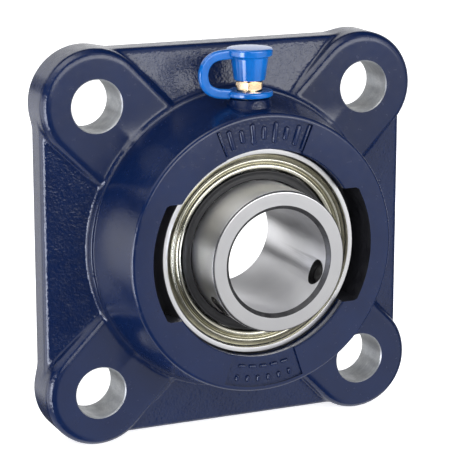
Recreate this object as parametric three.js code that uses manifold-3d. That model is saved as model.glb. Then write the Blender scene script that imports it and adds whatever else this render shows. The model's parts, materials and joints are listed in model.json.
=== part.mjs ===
// Square four-bolt flange bearing unit for a 25 mm shaft.
//
// Units are millimetres and +Z is up. The shaft lies along Y. The mounting face is
// the plane y = 0, and the bearing stands out of it towards -Y. The origin is the
// centre of the mounting face, on the shaft's axis.

import * as THREE from "three";
import { mergeVertices } from "three/addons/utils/BufferGeometryUtils.js";
import Module from "manifold-3d";

const wasm = await Module();
wasm.setup();

// ---------------------------------------------------------------------------
// Driving dimensions
// ---------------------------------------------------------------------------

const gap = 0.3; // clearance between pieces that touch on the real unit
const overlap = 1; // how far a shape reaches past the one it joins or cuts

// Cast housing
const flangeSide = 95;
const boltSpacing = 70;
const boltHoleRadius = 6.25;
const padRadius = 13.5; // raised strip around each bolt hole
const padThickness = 10.5;
const padBevel = 1.4;
const webEdgeThickness = 6.3; // the web between two pads, at the flange's edge
const webTopThickness = 9.9; // the same web, under the boss
const webTopHalfWidth = 31;
const bossFront = 28.2; // distance of the boss's front face from the mounting face
const bossFrontRadius = 33.6;
const bossBaseRadius = 36.6;
const bossEdge = 0.8; // rounding of the boss's front edge
const ledgeHeight = 0.6; // low step around the boss's foot
const ledgeWidth = 0.7;
const slotRadius = 28.3; // loading slots that let the insert in edgeways
const slotHalfHeight = 14;
const backRecessRadius = 29.5;
const backRecessDepth = 3.2;
const backRecessChamfer = 1.5;

// Bearing insert, in a spherical seat
const seatCentre = 17.5; // distance of the ball row from the mounting face
const sphereRadius = 26;
const outerRingWidth = 15.4;
const boreRadius = 12.5;
const innerRingRadius = 16.9;
const innerRingFront = 18.8; // from the ball row to the inner ring's front face
const innerRingRear = 15.3;
const boreChamfer = 0.9;
const ringChamfer = 0.4; // outer edges of the inner ring
const ballRadius = 3.97;
const pitchRadius = 19.5;
const ballCount = 9;
const raceClearance = 0.2;
const outerLandRadius = 21.6;
const shieldSeatRadius = 23.6;
const shieldSeatDepth = 2.3;
const shieldInnerRadius = 19.7;
const shieldRecess = 0.5; // how far the shield's ridges lie behind the outer ring's face
const shieldThickness = 0.9;
const shieldRidgeInner = 21.7; // flat top of the outer of the two ridges
const shieldRidgeOuter = 22.1;
const shieldFoot = 22.6; // foot of that ridge's slope
const shieldGroove = 21.1; // bottom of the groove between the ridges
const shieldGrooveDepth = 0.4;
const lipRecess = 0.7;
const lipThickness = 0.9;
const lipLand = 0.9; // width of the lip's sloping inner edge

// Ball cage
const cageThickness = 0.8;
const cageInnerRadius = 17.8;
const cageOuterRadius = 21.2;
const rivetRadius = 0.6;
const rivetHeadRadius = 1.1;
const rivetHeadHeight = 0.6;

// Set screws
const screwRadius = 2.9;
const screwLength = 3.8;
const screwTipRadius = 13.2; // distance of the screw's tip from the shaft's axis
const screwSocketRadius = 1.75;
const screwSocketDepth = 2.2;
const screwTipChamfer = 0.7;
const screwEdge = 0.3;
const screwFromFront = 4.2; // from the inner ring's front face to the screw's axis
const screwAngles = [-22, -142].map(THREE.MathUtils.degToRad);

// Grease nipple and its cap, upright on top of the boss
const nippleFromFace = 19.3; // distance of the nipple's axis from the mounting face
const nippleSeatTop = 36.2;
const nippleSeatRadius = 4.9;
const nippleSeatRoot = 29.6; // where the seat's round boss starts, inside the housing's wall
const nippleThreadRadius = 3;
const nippleThreadLength = 7;
const nippleNeckRadius = 2.6;
const nippleHexRadius = 3.45;
const nippleHexBottom = 38.2;
const nippleHexTop = 40.1;
const nippleHeadRadius = 2.9;
const nippleHeadBottom = 41.7;
const nippleHeadTop = 42.3;
const nippleNeckTop = 40.7;
const nippleTop = 45.4;
const nippleTipRadius = 1.7;
const nippleBoreRadius = 1.5;
const nippleMouthRadius = 0.75;
const checkSeat = 42.8; // shoulder in the nipple that the check ball closes
const checkBallRadius = 1.2;
const springRadius = 1.0;
const springWire = 0.16;
const springTurns = 4;
const springBottom = 36.4;
const springTop = 39.95;
const ringBottom = nippleSeatTop + gap;
const ringTop = 37.9;
const ringRadius = 5.6;
const capBottom = 40.4;
const capTop = 48.2;
const capDiscRadius = 5.5;
const capDiscThickness = 2;
const capBarrelTopRadius = 4.5;
const capBarrelBottomRadius = 3.75;
const capHollowRadius = 3.2;
const capEdge = 0.3;
const strapReach = 11.7; // from the nipple's axis to the middle of the strap's bow
const strapWidth = 2.7;
const strapThickness = 1.5;
const strapCornerIn = 2.4; // the bow's two corners, from the middle of the bow
const strapCornerDown = 1.1; // and from the strap's two ends

// ---------------------------------------------------------------------------
// Materials
// ---------------------------------------------------------------------------

const finish = (color, roughness, metalness) =>
  new THREE.MeshStandardMaterial({ color, roughness, metalness });

const navyPaint = finish(0x1c2648, 0.35, 0.1);
const groundSteel = finish(0xc9c9c6, 0.3, 1);
const polishedSteel = finish(0xdcdcdc, 0.12, 1);
const zincSteel = finish(0xc4c2a6, 0.35, 1);
const pressedSteel = finish(0xa8a8a4, 0.4, 1);
const blackRubber = finish(0x1a1a1c, 0.6, 0);
const blackenedSteel = finish(0x1d1d1f, 0.45, 1);
const brass = finish(0xd9a860, 0.3, 1);
const bluePlastic = finish(0x0a5fe0, 0.25, 0);

// ---------------------------------------------------------------------------
// Geometry helpers
// ---------------------------------------------------------------------------

// Points of a circular arc in the (r, y) half plane, from one angle to another.
function arc(centreR, centreY, radius, fromAngle, toAngle, steps) {
  const points = [];
  for (let i = 0; i <= steps; i += 1) {
    const angle = fromAngle + ((toAngle - fromAngle) * i) / steps;
    points.push([centreR + radius * Math.cos(angle), centreY + radius * Math.sin(angle)]);
  }
  return points;
}

// A solid of revolution about Y. The outline is closed by repeating its first point.
function revolve(outline, segments) {
  const points = [...outline, outline[0]].map(([r, y]) => new THREE.Vector2(r, y));
  return new THREE.LatheGeometry(points, segments);
}

// A flat shape drawn in X and Z, thickened from the mounting face towards -Y.
function plateFrom(shape, thickness, bevel = 0) {
  return new THREE.ExtrudeGeometry(shape, {
    depth: thickness - bevel,
    bevelEnabled: bevel > 0,
    bevelThickness: bevel,
    bevelSize: bevel,
    bevelOffset: -bevel,
    bevelSegments: 1,
    curveSegments: 9,
  }).rotateX(Math.PI / 2);
}

// A round rod along Y between two heights.
function rod(radius, fromY, toY, segments) {
  const length = Math.abs(toY - fromY);
  return new THREE.CylinderGeometry(radius, radius, length, segments)
    .translate(0, (fromY + toY) / 2, 0);
}

// The volume inside a triangle list, negative when its faces point inwards.
function signedVolume(vertices, triangles) {
  const [a, b, c] = [new THREE.Vector3(), new THREE.Vector3(), new THREE.Vector3()];
  let volume = 0;
  for (let i = 0; i < triangles.length; i += 3) {
    a.fromArray(vertices, triangles[i] * 3);
    b.fromArray(vertices, triangles[i + 1] * 3);
    c.fromArray(vertices, triangles[i + 2] * 3);
    volume += a.dot(b.cross(c)) / 6;
  }
  return volume;
}

// Turns a closed geometry into a solid that can be joined and cut.
function solidFrom(geometry) {
  const bare = geometry.clone();
  bare.deleteAttribute("normal");
  bare.deleteAttribute("uv");
  const merged = mergeVertices(bare, 1e-4);
  const vertices = merged.attributes.position.array;
  const triangles = [];
  for (let i = 0; i < merged.index.count; i += 3) {
    const [p, q, r] = merged.index.array.slice(i, i + 3);
    if (p !== q && q !== r && r !== p) triangles.push(p, q, r);
  }
  if (signedVolume(vertices, triangles) < 0) triangles.reverse();
  const triVerts = new Uint32Array(triangles);
  return new wasm.Manifold(new wasm.Mesh({ numProp: 3, vertProperties: vertices, triVerts }));
}

// Turns a solid back into a geometry that a mesh can show.
function geometryFrom(solid) {
  const { numProp, vertProperties, triVerts } = solid.getMesh();
  const geometry = new THREE.BufferGeometry();
  const positions = new THREE.InterleavedBuffer(vertProperties, numProp);
  geometry.setAttribute("position", new THREE.InterleavedBufferAttribute(positions, 3, 0));
  geometry.setIndex(new THREE.BufferAttribute(triVerts, 1));
  return geometry;
}

const joined = (geometries) => geometries.map(solidFrom).reduce((all, one) => all.add(one));

function piece(name, solidOrGeometry, material) {
  const isSolid = !solidOrGeometry.isBufferGeometry;
  const solid = isSolid ? solidOrGeometry : solidFrom(solidOrGeometry);
  const mesh = new THREE.Mesh(geometryFrom(solid), material);
  mesh.name = name;
  return mesh;
}

// ---------------------------------------------------------------------------
// Housing
// ---------------------------------------------------------------------------

const boltHoleCentres = [[1, 1], [-1, 1], [-1, -1], [1, -1]].map(([sideX, sideZ]) =>
  new THREE.Vector3((sideX * boltSpacing) / 2, 0, (sideZ * boltSpacing) / 2));

function roundedSquare(side, cornerRadius) {
  const half = side / 2;
  const inner = half - cornerRadius;
  const shape = new THREE.Shape();
  shape.absarc(inner, inner, cornerRadius, 0, Math.PI / 2);
  shape.absarc(-inner, inner, cornerRadius, Math.PI / 2, Math.PI);
  shape.absarc(-inner, -inner, cornerRadius, Math.PI, 1.5 * Math.PI);
  shape.absarc(inner, -inner, cornerRadius, 1.5 * Math.PI, 2 * Math.PI);
  return shape;
}

// The flange with its four webs, which rise from the edge towards the boss.
function flangePlate() {
  const cornerRadius = (flangeSide - boltSpacing) / 2;
  const outline = plateFrom(roundedSquare(flangeSide, cornerRadius), webTopThickness + overlap);
  const toCorner = Math.SQRT2;
  const slopes = revolve([
    [0, 0],
    [(flangeSide / 2) * toCorner, 0],
    [(flangeSide / 2) * toCorner, -webEdgeThickness],
    [webTopHalfWidth * toCorner, -webTopThickness],
    [0, -webTopThickness],
  ], 4).rotateY(Math.PI / 4);
  return solidFrom(outline).intersect(solidFrom(slopes));
}

// A raised strip from the boss to a round end about one bolt hole.
function boltPad(angle) {
  const reach = boltSpacing / Math.SQRT2;
  const shape = new THREE.Shape();
  shape.moveTo(0, -padRadius);
  shape.absarc(reach, 0, padRadius, -Math.PI / 2, Math.PI / 2);
  shape.lineTo(0, padRadius);
  const strip = plateFrom(shape, padThickness, padBevel).rotateY(angle);
  const size = 2 * flangeSide;
  const behindFace = new THREE.BoxGeometry(size, size, size).translate(0, size / 2, 0);
  return solidFrom(strip).subtract(solidFrom(behindFace));
}

function boss() {
  const ledgeY = -padThickness - ledgeHeight;
  return solidFrom(revolve([
    [0, -overlap],
    [bossBaseRadius + ledgeWidth, -overlap],
    [bossBaseRadius + ledgeWidth, ledgeY],
    [bossBaseRadius, ledgeY],
    [bossFrontRadius, -bossFront + bossEdge],
    [bossFrontRadius - bossEdge, -bossFront],
    [0, -bossFront],
  ], 56));
}

// The space that the insert fills: a spherical zone, open to the front and the back.
function seatSpace() {
  const seatRadius = sphereRadius + gap;
  const zoneAngle = Math.asin((outerRingWidth / 2) / seatRadius);
  const mouthRadius = seatRadius * Math.cos(zoneAngle);
  return solidFrom(revolve([
    [0, overlap],
    [backRecessRadius, overlap],
    [backRecessRadius, -backRecessDepth],
    [mouthRadius, -backRecessDepth - backRecessChamfer],
    ...arc(0, -seatCentre, seatRadius, zoneAngle, -zoneAngle, 6),
    [mouthRadius, -bossFront - overlap],
    [0, -bossFront - overlap],
  ], 56));
}

function loadingSlots() {
  const round = solidFrom(rod(slotRadius, -seatCentre, -bossFront - overlap, 56));
  const depth = bossFront + 2 * overlap - seatCentre;
  const band = new THREE.BoxGeometry(2 * (slotRadius + overlap), depth, 2 * slotHalfHeight)
    .translate(0, -seatCentre - depth / 2, 0);
  return round.intersect(solidFrom(band));
}

// The nipple's threaded hole and the narrow way for grease below it.
function greaseWay() {
  const threadBottom = nippleSeatTop - nippleThreadLength - gap;
  return joined([
    rod(nippleThreadRadius + gap, threadBottom, nippleSeatTop + overlap, 20),
    rod(nippleBoreRadius, sphereRadius - 2 * overlap, threadBottom + overlap, 12),
  ].map((geometry) => geometry.rotateX(Math.PI / 2).translate(0, -nippleFromFace, 0)));
}

function housing() {
  const nippleSeat = rod(nippleSeatRadius, nippleSeatRoot, nippleSeatTop, 24)
    .rotateX(Math.PI / 2)
    .translate(0, -nippleFromFace, 0);
  let body = flangePlate().add(boss()).add(solidFrom(nippleSeat));
  for (let quarter = 0; quarter < 4; quarter += 1) {
    body = body.add(boltPad(Math.PI / 4 + (quarter * Math.PI) / 2));
  }
  body = body.subtract(seatSpace()).subtract(loadingSlots()).subtract(greaseWay());
  for (const centre of boltHoleCentres) {
    const hole = rod(boltHoleRadius, overlap, -padThickness - overlap, 24);
    body = body.subtract(solidFrom(hole.translate(centre.x, 0, centre.z)));
  }
  return piece("housing", body, navyPaint);
}

// ---------------------------------------------------------------------------
// Bearing insert: y = 0 is the ball row in everything below
// ---------------------------------------------------------------------------

const grooveRadius = ballRadius + raceClearance;
const halfWidth = outerRingWidth / 2;

function outerRing() {
  const sphereAngle = Math.asin(halfWidth / sphereRadius);
  const grooveAngle = Math.acos((outerLandRadius - pitchRadius) / grooveRadius);
  return piece("outer_ring", revolve([
    ...arc(0, 0, sphereRadius, -sphereAngle, sphereAngle, 5),
    [shieldSeatRadius, halfWidth],
    [shieldSeatRadius, halfWidth - shieldSeatDepth],
    [outerLandRadius, halfWidth - shieldSeatDepth],
    ...arc(pitchRadius, 0, grooveRadius, grooveAngle, -grooveAngle, 5),
    [outerLandRadius, shieldSeatDepth - halfWidth],
    [shieldSeatRadius, shieldSeatDepth - halfWidth],
    [shieldSeatRadius, -halfWidth],
  ], 48), groundSteel);
}

// The inner ring is longer at the front, where the two set screws go through it.
function innerRing() {
  const reach = pitchRadius - innerRingRadius;
  const grooveAngle = Math.acos(reach / grooveRadius);
  const body = solidFrom(revolve([
    [boreRadius, innerRingRear - boreChamfer],
    [boreRadius, boreChamfer - innerRingFront],
    [boreRadius + boreChamfer, -innerRingFront],
    [innerRingRadius - ringChamfer, -innerRingFront],
    [innerRingRadius, ringChamfer - innerRingFront],
    ...arc(pitchRadius, 0, grooveRadius, Math.PI + grooveAngle, Math.PI - grooveAngle, 5),
    [innerRingRadius, innerRingRear - ringChamfer],
    [innerRingRadius - ringChamfer, innerRingRear],
    [boreRadius + boreChamfer, innerRingRear],
  ], 48));
  const holes = screwAngles.map((angle) => solidFrom(
    rod(screwRadius + gap, boreRadius - 2 * overlap, innerRingRadius + 2 * overlap, 20)
      .rotateZ(-Math.PI / 2)
      .rotateY(-angle)
      .translate(0, screwFromFront - innerRingFront, 0)));
  return piece("inner_ring", holes.reduce((ring, hole) => ring.subtract(hole), body), groundSteel);
}

const ballAngles = Array.from({ length: ballCount }, (_, i) =>
  Math.PI / 2 + (i * 2 * Math.PI) / ballCount);

const onPitchCircle = (angle) =>
  new THREE.Vector3(pitchRadius * Math.cos(angle), 0, pitchRadius * Math.sin(angle));

function balls() {
  return ballAngles.map((angle, i) => {
    const geometry = new THREE.IcosahedronGeometry(ballRadius, 2);
    const ball = piece(`ball_${i + 1}`, geometry, polishedSteel);
    ball.position.copy(onPitchCircle(angle));
    return ball;
  });
}

// Halfway between two balls, where a rivet holds the cage halves together.
const rivetPlaces = ballAngles.map((angle) => onPitchCircle(angle + Math.PI / ballCount));

// One half of the ribbon cage: flat between the balls, arched over each of them.
// side is -1 for the front half and 1 for the rear half.
function cageHalf(name, side) {
  const pocketRadius = ballRadius + gap;
  const archRadius = pocketRadius + cageThickness;
  const acrossRow = (radius, angle) => solidFrom(
    rod(radius, cageInnerRadius - 2 * overlap, cageOuterRadius + 2 * overlap, 14)
      .rotateZ(-Math.PI / 2)
      .rotateY(-angle));
  const band = (fromY, toY) => solidFrom(revolve([
    [cageInnerRadius, fromY],
    [cageOuterRadius, fromY],
    [cageOuterRadius, toY],
    [cageInnerRadius, toY],
  ], 36));
  const split = (side * gap) / 2;
  let half = band(split, split + side * cageThickness);
  for (const angle of ballAngles) half = half.add(acrossRow(archRadius, angle));
  for (const angle of ballAngles) half = half.subtract(acrossRow(pocketRadius, angle));
  for (const place of rivetPlaces) {
    const hole = rod(rivetRadius + gap, -2 * overlap, 2 * overlap, 8);
    half = half.subtract(solidFrom(hole.translate(place.x, 0, place.z)));
  }
  half = half.intersect(band(split, side * (archRadius + overlap)));
  return piece(name, half, pressedSteel);
}

function rivets() {
  const underHead = gap / 2 + cageThickness + gap;
  const top = underHead + rivetHeadHeight;
  const crownRadius = 0.7 * rivetHeadRadius;
  const outline = [
    [0, -top],
    [crownRadius, -top],
    [rivetHeadRadius, -underHead],
    [rivetRadius, -underHead],
    [rivetRadius, underHead],
    [rivetHeadRadius, underHead],
    [crownRadius, top],
    [0, top],
  ];
  return rivetPlaces.map((place, i) => {
    const rivet = piece(`cage_rivet_${i + 1}`, revolve(outline, 8), pressedSteel);
    rivet.position.copy(place);
    return rivet;
  });
}

// Pressed steel shield with two raised ridges, in the outer ring's end.
function sealShield(name, side) {
  const outerR = shieldSeatRadius - gap;
  const faceY = halfWidth - shieldRecess;
  const grooveY = faceY - shieldGrooveDepth;
  const backY = faceY - shieldThickness;
  return piece(name, revolve([
    [outerR, backY],
    [outerR, grooveY],
    [shieldFoot, grooveY],
    [shieldRidgeOuter, faceY],
    [shieldRidgeInner, faceY],
    [shieldGroove, grooveY],
    [shieldGroove - gap, faceY],
    [shieldInnerRadius, faceY],
    [shieldInnerRadius, backY],
  ].map(([r, y]) => [r, side * y]), 40), zincSteel);
}

// Rubber lip between the shield and the inner ring.
function sealLip(name, side) {
  const outerR = shieldInnerRadius - gap;
  const innerR = innerRingRadius + gap;
  const faceY = halfWidth - lipRecess;
  const backY = faceY - lipThickness;
  return piece(name, revolve([
    [outerR, backY],
    [outerR, faceY],
    [innerR + lipLand, faceY - lipThickness / 4],
    [innerR, faceY - lipThickness / 2],
    [innerR, backY],
  ].map(([r, y]) => [r, side * y]), 40), blackRubber);
}

// Socket set screw. Its own +Y points away from the shaft's axis.
function setScrew(name, angle) {
  const body = solidFrom(revolve([
    [0, 0],
    [screwRadius - screwTipChamfer, 0],
    [screwRadius, screwTipChamfer],
    [screwRadius, screwLength - screwEdge],
    [screwRadius - screwEdge, screwLength],
    [0, screwLength],
  ], 18));
  const socketBottom = screwLength - screwSocketDepth;
  const socket = rod(screwSocketRadius, socketBottom, screwLength + overlap, 6);
  const screw = piece(name, body.subtract(solidFrom(socket)), blackenedSteel);
  screw.rotation.set(0, -angle, -Math.PI / 2, "YXZ");
  screw.position.set(
    screwTipRadius * Math.cos(angle),
    screwFromFront - innerRingFront,
    screwTipRadius * Math.sin(angle));
  return screw;
}

function insert() {
  const group = new THREE.Group();
  group.position.y = -seatCentre;
  group.add(
    outerRing(),
    innerRing(),
    ...balls(),
    cageHalf("cage_front_half", -1),
    cageHalf("cage_rear_half", 1),
    ...rivets(),
    sealShield("front_seal_shield", -1),
    sealShield("rear_seal_shield", 1),
    sealLip("front_seal_lip", -1),
    sealLip("rear_seal_lip", 1),
    ...screwAngles.map((angle, i) => setScrew(`set_screw_${i + 1}`, angle)),
  );
  return group;
}

// ---------------------------------------------------------------------------
// Grease nipple: its own Y is the upright axis, and heights are the unit's Z
// ---------------------------------------------------------------------------

function greaseNipple() {
  const outside = joined([
    revolve([
      [0, nippleSeatTop - nippleThreadLength],
      [nippleThreadRadius, nippleSeatTop - nippleThreadLength],
      [nippleThreadRadius, nippleSeatTop - gap],
      [nippleNeckRadius, nippleSeatTop - gap],
      [nippleNeckRadius, nippleNeckTop],
      [nippleHeadRadius, nippleHeadBottom],
      [nippleHeadRadius, nippleHeadTop],
      [nippleTipRadius, nippleTop],
      [0, nippleTop],
    ], 24),
    rod(nippleHexRadius, nippleHexBottom, nippleHexTop, 6),
  ]);
  const passage = joined([
    rod(nippleBoreRadius, nippleSeatTop - nippleThreadLength - overlap, checkSeat, 16),
    rod(nippleMouthRadius, checkSeat - overlap, nippleTop + overlap, 16),
  ]);
  return piece("grease_nipple", outside.subtract(passage), brass);
}

function checkBall() {
  const ball = piece("nipple_check_ball", new THREE.IcosahedronGeometry(checkBallRadius, 2),
    polishedSteel);
  ball.position.y = checkSeat - checkBallRadius - gap / 2;
  return ball;
}

// Coil spring below the check ball.
function checkSpring() {
  const rise = springTop - springBottom - 2 * springWire;
  class Helix extends THREE.Curve {
    getPoint(t) {
      const turn = 2 * Math.PI * springTurns * t;
      return new THREE.Vector3(
        springRadius * Math.cos(turn),
        springBottom + springWire + rise * t,
        springRadius * Math.sin(turn));
    }
  }
  const section = new THREE.Shape();
  section.absarc(0, 0, springWire, 0, 2 * Math.PI);
  const wire = new THREE.ExtrudeGeometry(section, {
    steps: springTurns * 9,
    curveSegments: 3,
    extrudePath: new Helix(),
  });
  return piece("nipple_spring", wire, pressedSteel);
}

// Snap-on dust cap: a disc on a hollow barrel that narrows downwards.
function nippleCap() {
  const discBottom = capTop - capDiscThickness;
  return piece("nipple_cap", revolve([
    [capHollowRadius, capBottom],
    [capBarrelBottomRadius, capBottom],
    [capBarrelTopRadius, discBottom],
    [capDiscRadius, discBottom],
    [capDiscRadius, capTop - capEdge],
    [capDiscRadius - capEdge, capTop],
    [0, capTop],
    [0, discBottom],
    [capHollowRadius, discBottom],
  ], 32), bluePlastic);
}

function capRing() {
  return piece("cap_ring", revolve([
    [nippleNeckRadius + gap, ringBottom],
    [ringRadius, ringBottom],
    [ringRadius, ringTop],
    [nippleNeckRadius + gap, ringTop],
  ], 32), bluePlastic);
}

// The strap bows out sideways from the cap's disc down to the ring.
function capStrap() {
  const upper = capTop - capDiscThickness / 2;
  const lower = (ringBottom + ringTop) / 2;
  const middle = (upper + lower) / 2;
  const route = new THREE.CatmullRomCurve3([
    new THREE.Vector3(-capDiscRadius - gap, upper, 0),
    new THREE.Vector3(-strapReach + strapCornerIn, upper - strapCornerDown, 0),
    new THREE.Vector3(-strapReach, middle, 0),
    new THREE.Vector3(-strapReach + strapCornerIn, lower + strapCornerDown, 0),
    new THREE.Vector3(-ringRadius - gap, lower, 0),
  ]);
  const section = new THREE.Shape();
  section.moveTo(-strapThickness / 2, -strapWidth / 2);
  section.lineTo(strapThickness / 2, -strapWidth / 2);
  section.lineTo(strapThickness / 2, strapWidth / 2);
  section.lineTo(-strapThickness / 2, strapWidth / 2);
  const bow = new THREE.ExtrudeGeometry(section, { steps: 20, extrudePath: route });
  return piece("cap_strap", bow, bluePlastic);
}

function nippleGroup() {
  const group = new THREE.Group();
  group.rotation.x = Math.PI / 2;
  group.position.y = -nippleFromFace;
  group.add(greaseNipple(), checkBall(), checkSpring(), capRing(), capStrap(), nippleCap());
  return group;
}

// ---------------------------------------------------------------------------
// The unit
// ---------------------------------------------------------------------------

const flangeBearing = new THREE.Group();
flangeBearing.add(housing(), insert(), nippleGroup());

export default flangeBearing;
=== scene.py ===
"""Looks of a square four-bolt flange bearing unit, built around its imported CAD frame.

The shaft lies along Y, the mounting face is y = 0 and the bearing stands out towards -Y.
Shapes are worked out in millimetres and turned into metres as their meshes are made.
"""

import json
import math

import bmesh
import bpy
import numpy as np
from mathutils import Euler, Matrix, Vector


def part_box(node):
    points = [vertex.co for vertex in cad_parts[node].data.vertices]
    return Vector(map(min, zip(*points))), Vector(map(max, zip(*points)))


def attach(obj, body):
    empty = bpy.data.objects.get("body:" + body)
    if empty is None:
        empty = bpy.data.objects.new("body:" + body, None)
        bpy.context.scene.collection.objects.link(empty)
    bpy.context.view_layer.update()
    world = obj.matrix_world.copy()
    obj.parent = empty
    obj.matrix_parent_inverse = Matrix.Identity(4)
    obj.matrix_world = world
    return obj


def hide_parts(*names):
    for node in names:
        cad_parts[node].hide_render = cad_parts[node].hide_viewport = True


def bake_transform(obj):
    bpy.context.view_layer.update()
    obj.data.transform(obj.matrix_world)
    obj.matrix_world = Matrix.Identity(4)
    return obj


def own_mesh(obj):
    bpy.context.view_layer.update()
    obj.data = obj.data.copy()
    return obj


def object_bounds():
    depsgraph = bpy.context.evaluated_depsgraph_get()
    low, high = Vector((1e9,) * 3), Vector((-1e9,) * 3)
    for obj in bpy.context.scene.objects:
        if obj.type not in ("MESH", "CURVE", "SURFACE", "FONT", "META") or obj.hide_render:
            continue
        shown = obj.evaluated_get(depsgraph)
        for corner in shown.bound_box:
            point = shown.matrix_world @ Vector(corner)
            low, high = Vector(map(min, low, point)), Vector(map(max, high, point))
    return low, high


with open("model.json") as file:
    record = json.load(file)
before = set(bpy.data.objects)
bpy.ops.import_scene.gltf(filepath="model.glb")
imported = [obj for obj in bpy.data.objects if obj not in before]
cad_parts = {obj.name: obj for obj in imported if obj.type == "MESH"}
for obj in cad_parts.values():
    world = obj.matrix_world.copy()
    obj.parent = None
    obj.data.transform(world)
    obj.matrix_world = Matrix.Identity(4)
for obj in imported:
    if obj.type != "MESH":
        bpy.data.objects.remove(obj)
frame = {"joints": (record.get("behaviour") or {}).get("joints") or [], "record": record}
CAD_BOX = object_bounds()

MM = 0.001
SEED = 7

# --- Sizes read from the frame, in millimetres ---


def low(node):
    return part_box(node)[0] / MM


def high(node):
    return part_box(node)[1] / MM


def named(items, name):
    return next(item for item in items if item["name"] == name)


def joint(name):
    return named(frame["joints"], name)


RECORD = frame["record"]
BOLT_HOLE = named(RECORD["physics"]["openings"], "bolt_hole_upper_right")["box_m"]
BOLT_SEAT = named(RECORD["mounts"], "bolt_seat_upper_right")["pos_m"]

PAD_REACH = high("housing").x
BOLT_OFFSET = (BOLT_HOLE[0][0] + BOLT_HOLE[1][0]) / 2 / MM
PAD_RADIUS = PAD_REACH - BOLT_OFFSET
PAD_THICKNESS = -BOLT_SEAT[1] / MM
BOSS_FRONT = -low("housing").y
SPHERE_RADIUS = high("outer_ring").x
RING_HALF_WIDTH = (high("outer_ring").y - low("outer_ring").y) / 2
SEAT_CENTRE = -(high("outer_ring").y + low("outer_ring").y) / 2
INNER_RADIUS = high("inner_ring").x
INNER_FRONT = -low("inner_ring").y
INNER_REAR = -high("inner_ring").y
SHIELD_RADIUS = high("front_seal_shield").x
LIP_RADIUS = high("front_seal_lip").x
NIPPLE_DEPTH = -joint("cap_swivel")["pos_m"][1] / MM
NIPPLE_CENTRE = (0, -NIPPLE_DEPTH, 0)
NIPPLE_TOP = high("grease_nipple").z
NIPPLE_BOTTOM = low("grease_nipple").z
RING_LOW = low("cap_ring").z
RING_HIGH = high("cap_ring").z
RING_RADIUS = high("cap_ring").x
CAP_LOW = low("nipple_cap").z
CAP_HIGH = high("nipple_cap").z
CAP_RADIUS = high("nipple_cap").x
STRAP_REACH = -low("cap_strap").x
BALL_RADIUS = (high("ball_1").z - low("ball_1").z) / 2
PITCH_RADIUS = (high("ball_1").z + low("ball_1").z) / 2
BALL_NUMBERS = range(1, 10)

# Sizes of the casting that the frame doesn't name
FLANGE_HALF = 47.5
WEB_EDGE = 6.3
WEB_TOP = 9.9
WEB_TOP_HALF = 31.0
BOLT_HOLE_RADIUS = 6.25
BOSS_BASE_RADIUS = 36.6
BOSS_FRONT_RADIUS = 33.6
LEDGE_WIDTH = 0.7
LEDGE_HEIGHT = 0.6
SEAT_GAP = 0.3
SEAT_RADIUS = SPHERE_RADIUS + SEAT_GAP
SLOT_RADIUS = 28.3
SLOT_HALF_HEIGHT = 14.0
RECESS_RADIUS = 29.5
RECESS_DEPTH = 3.2
PAD_BEVEL = 1.4
BACK_STOCK = 0.8
PLAQUE_DEPTH = 0.6
PLAQUE_TOP_ANGLE = math.radians(22.5)
PLAQUE_BOTTOM_ANGLE = math.radians(18.5)
NIPPLE_SEAT_RADIUS = 4.9
NIPPLE_SEAT_TOP = RING_LOW - SEAT_GAP

# --- Mesh helpers ---


def angles(count):
    """Evenly spaced angles, once round."""
    return [2 * math.pi * k / count for k in range(count)]


def new_object(name, data):
    obj = bpy.data.objects.new(name, data)
    bpy.context.scene.collection.objects.link(obj)
    return obj


def add_mesh(name, mesh, *materials):
    """A smooth piece. A material may be None, for a cutter that passes none on."""
    for material in filter(None, materials):
        mesh.materials.append(material)
    obj = new_object(name, mesh)
    smooth(obj)
    return obj


def make_object(name, vertices, faces, material=None):
    mesh = bpy.data.meshes.new(name)
    mesh.from_pydata([tuple(v) for v in vertices], [], [tuple(f) for f in faces])
    mesh.validate()
    mesh.update()
    return add_mesh(name, mesh, material)


def from_bmesh(name, work, *materials):
    mesh = bpy.data.meshes.new(name)
    work.to_mesh(mesh)
    work.free()
    return add_mesh(name, mesh, *materials)


def smooth(obj):
    obj.data.polygons.foreach_set("use_smooth", [True] * len(obj.data.polygons))


def outward(obj):
    """Makes every face point out of its piece, and hands the piece back."""
    work = bmesh.new()
    work.from_mesh(obj.data)
    bmesh.ops.recalc_face_normals(work, faces=work.faces)
    work.to_mesh(obj.data)
    work.free()
    return obj


def weighted(obj):
    """Shading normals that follow the large faces, so that flats look flat beside their fillets."""
    modifier = obj.modifiers.new("weighted_normals", "WEIGHTED_NORMAL")
    modifier.keep_sharp = True
    modifier.weight = 100


def combine(obj, other, operation):
    """Joins obj with the other solid, or cuts or trims it with that, and removes the other."""
    modifier = obj.modifiers.new("combine", "BOOLEAN")
    modifier.operation = operation
    modifier.solver = "EXACT"
    modifier.material_mode = "TRANSFER"
    modifier.object = other
    graph = bpy.context.evaluated_depsgraph_get()
    mesh = bpy.data.meshes.new_from_object(obj.evaluated_get(graph))
    obj.modifiers.clear()
    obj.data = mesh
    bpy.data.objects.remove(other)


def cut(obj, cutter):
    combine(obj, cutter, "DIFFERENCE")


def join(parts, name):
    """Joins separate meshes into one object, with the materials of the first."""
    work = bmesh.new()
    for part in parts:
        work.from_mesh(part.data)
    obj = from_bmesh(name, work, *parts[0].data.materials)
    for part in parts:
        bpy.data.objects.remove(part)
    return obj


def aim(obj, direction, spot):
    """Turns a mesh that stands along Y to a direction, then moves it to a spot in metres."""
    turn = Vector((0, 1, 0)).rotation_difference(direction).to_matrix().to_4x4()
    obj.data.transform(Matrix.Translation(spot) @ turn)


def arc_points(centre_r, centre_y, radius, start, end, steps=16):
    turns = [start + (end - start) * k / steps for k in range(steps + 1)]
    return [(centre_r + radius * math.cos(t), centre_y + radius * math.sin(t)) for t in turns]


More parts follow.
